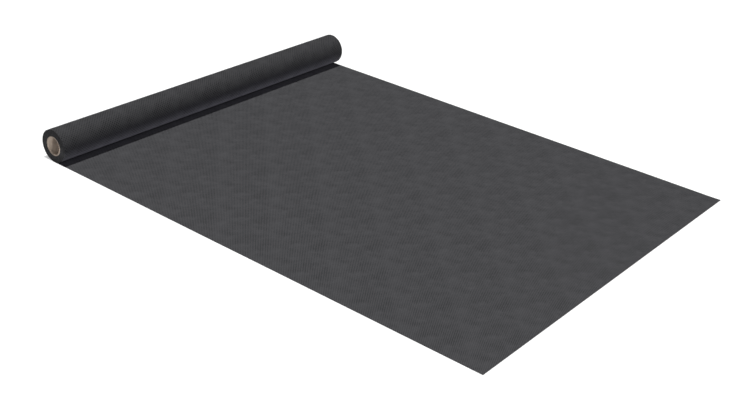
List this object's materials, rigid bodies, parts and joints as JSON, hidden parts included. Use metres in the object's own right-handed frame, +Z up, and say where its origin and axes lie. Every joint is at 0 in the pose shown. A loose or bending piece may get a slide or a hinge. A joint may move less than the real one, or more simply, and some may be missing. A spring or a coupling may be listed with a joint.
{
  "type": "roll of house wrap",
  "caption": "Breather membrane wound on a paper core, with its free length rolled out flat on the floor.",
  "frame": {"origin": "on the floor, in the middle of the whole outline of roll and laid sheet", "axes": "+X along the roll's axis, +Y from the sheet's free edge towards the roll, +Z up from the floor"},
  "size_m": [1.5, 1.9371, 0.1246],
  "materials": {
    "kraft_paper": "matte, spirally wound brown paper",
    "membrane": "matte, dark grey spunbonded fleece with a fine bonded pattern"
  },
  "bodies": {
    "root": {"core_tube": "kraft_paper", "membrane": "membrane"}
  },
  "joints": []
}
